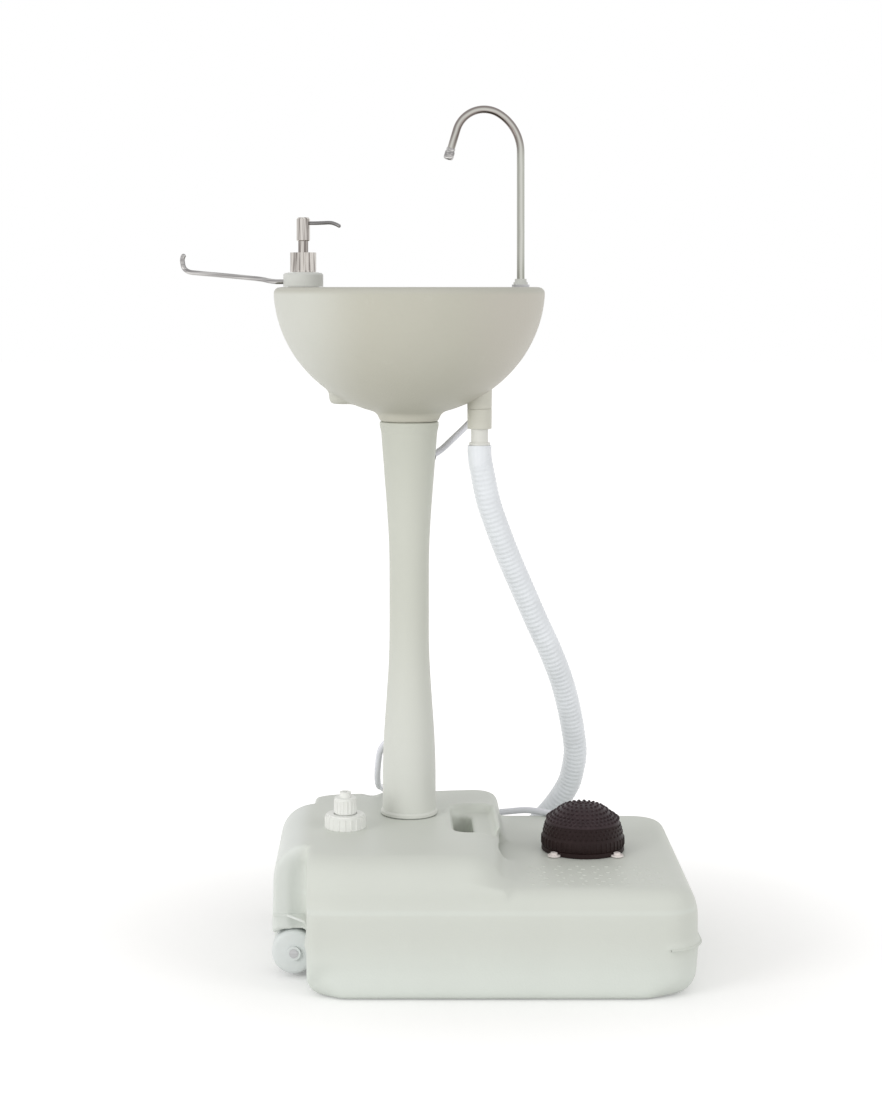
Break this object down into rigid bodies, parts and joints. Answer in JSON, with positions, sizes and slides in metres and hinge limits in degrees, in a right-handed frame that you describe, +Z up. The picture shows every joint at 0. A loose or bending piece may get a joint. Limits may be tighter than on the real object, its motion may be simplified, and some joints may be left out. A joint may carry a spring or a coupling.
{
  "type": "portable wash basin",
  "caption": "Free-standing wash basin on a waisted column over a wheeled water tank, with foot pump, gooseneck faucet, soap pump, towel arm and drain hose",
  "frame": {"origin": "on the floor under the column's axis", "axes": "+X to the foot pump's side, -Y toward the user, +Z up"},
  "size_m": [0.6115, 0.4618, 1.0227],
  "materials": {
    "hdpe": "blow-moulded polyethylene, faint orange peel",
    "white_plastic": "moulded white plastic",
    "chrome": "bright plated",
    "steel": "drawn steel",
    "black_rubber": "soft moulded rubber with small nubs",
    "soft_rubber": "grey rubber",
    "clear_plastic": "milky translucent plastic"
  },
  "bodies": {
    "base": {"tank_body": "hdpe", "column": "hdpe", "basin": "hdpe", "drain_tailpiece": "hdpe", "soap_neck": "hdpe", "drain_coupling": "white_plastic", "faucet_gland": "white_plastic", "soap_bottle": "white_plastic", "soap_pump_body": "white_plastic", "pump_intake_strainer": "white_plastic", "drain_strainer": "chrome", "soap_collar": "chrome", "wheel_axle": "steel", "axle_caps": "steel", "faucet_shank": "steel", "faucet_nut": "steel", "soap_spring": "steel", "pump_screws": "steel", "pump_spring": "steel", "pump_base": "black_rubber", "pump_bellows": "black_rubber", "pump_outlet": "black_rubber", "filler_gasket": "soft_rubber", "upper_grommet": "soft_rubber", "lower_grommet": "soft_rubber", "faucet_oring": "soft_rubber", "pump_gasket": "soft_rubber", "pump_inlet_valve": "soft_rubber", "pump_outlet_valve": "soft_rubber", "drain_hose": "clear_plastic", "supply_tube": "clear_plastic", "soap_dip_tube": "clear_plastic", "pump_intake_tube": "clear_plastic"},
    "faucet": {"faucet_tube": "chrome", "spout_tip": "chrome"},
    "soap_plunger": {"soap_stem": "chrome"},
    "soap_spout": {"soap_head": "chrome", "soap_nozzle": "chrome"},
    "towel": {"towel_collar": "hdpe", "towel_arm": "chrome"},
    "treadle": {"pump_tread": "black_rubber"},
    "front_roller": {"wheel_front": "white_plastic"},
    "rear_roller": {"wheel_rear": "white_plastic"},
    "plug": {"filler_plug": "white_plastic"},
    "ring": {"filler_ring": "white_plastic"},
    "knob": {"vent_knob": "white_plastic"}
  },
  "joints": [
    {"name": "faucet_swivel", "type": "hinge", "parent": "base", "child": "faucet", "pos_m": [0.1368, 0, 0.8], "axis": [0, 0, 1], "continuous": true},
    {"name": "soap_press", "type": "slide", "parent": "base", "child": "soap_plunger", "axis": [0, 0, -1], "range_m": [0, 0.012], "stiffness_N_per_m": 150, "springref_m": -0.004, "deforming": ["soap_spring"]},
    {"name": "soap_turn", "type": "hinge", "parent": "soap_plunger", "child": "soap_spout", "pos_m": [-0.13, 0, 0.87], "axis": [0, 0, 1], "continuous": true},
    {"name": "towel_swivel", "type": "hinge", "parent": "base", "child": "towel", "pos_m": [-0.13, 0, 0.81], "axis": [0, 0, 1], "range_deg": [-90, 90]},
    {"name": "pump_press", "type": "slide", "parent": "base", "child": "treadle", "axis": [0, 0, -1], "range_m": [0, 0.02], "stiffness_N_per_m": 1200, "springref_m": -0.01, "deforming": ["pump_bellows", "pump_spring"]},
    {"name": "wheel_front_turn", "type": "hinge", "parent": "base", "child": "front_roller", "pos_m": [-0.135, -0.139, 0.0304], "axis": [0, 1, 0], "continuous": true},
    {"name": "wheel_rear_turn", "type": "hinge", "parent": "base", "child": "rear_roller", "pos_m": [-0.135, 0.04, 0.0304], "axis": [0, 1, 0], "continuous": true},
    {"name": "plug_lift", "type": "slide", "parent": "base", "child": "plug", "axis": [0, 0, 1], "range_m": [0, 0.06]},
    {"name": "ring_turn", "type": "hinge", "parent": "plug", "child": "ring", "pos_m": [-0.077, -0.073, 0.164], "axis": [0, 0, 1], "continuous": true},
    {"name": "knob_turn", "type": "hinge", "parent": "plug", "child": "knob", "pos_m": [-0.077, -0.073, 0.183], "axis": [0, 0, 1], "continuous": true}
  ]
}
